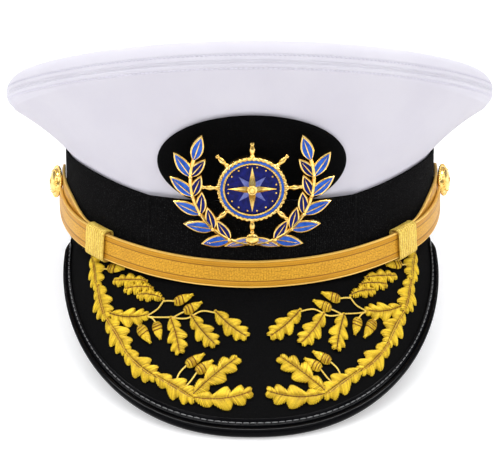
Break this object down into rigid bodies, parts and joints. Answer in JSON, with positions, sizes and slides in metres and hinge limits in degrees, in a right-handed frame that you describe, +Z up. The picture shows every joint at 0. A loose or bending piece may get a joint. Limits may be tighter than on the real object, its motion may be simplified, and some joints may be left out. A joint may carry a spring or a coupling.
{
  "type": "peaked cap",
  "caption": "Peaked service cap with a flared white crown, black band, embroidered peak, gold lace chin strap and an enamelled badge on an oval mount.",
  "frame": {"origin": "centre of the footprint on the surface it stands on, midway between the front of the peak and the back of the crown", "axes": "+Z up, +X to the right as seen from the front, -Y out of the front of the cap where the peak and badge are; the cap leans back on the edge of its peak and the back of its band"},
  "size_m": [0.2374, 0.2982, 0.1581],
  "materials": {
    "white_cloth": "fine matte twill",
    "band_cloth": "ribbed mohair braid",
    "black_felt": "matte fine cloth",
    "patent_leather": "glossy",
    "gold_lace": "woven metal lace",
    "pale_lace": "crinkled metal lace",
    "gold_metal": "polished",
    "gold_thread": "satin stitch"
  },
  "bodies": {
    "root": {"crown_top": "white_cloth", "crown_side": "white_cloth", "band": "band_cloth", "front_band": "band_cloth", "badge_mount": "black_felt", "badge": "gold_metal", "peak": "black_felt", "peak_binding": "patent_leather", "chin_strap": "gold_lace", "strap_tail_left": "gold_lace", "strap_tail_right": "gold_lace", "keeper_left": "pale_lace", "keeper_right": "pale_lace", "button_left": "gold_metal", "button_right": "gold_metal", "embroidery_left": "gold_thread", "embroidery_right": "gold_thread"}
  },
  "joints": []
}
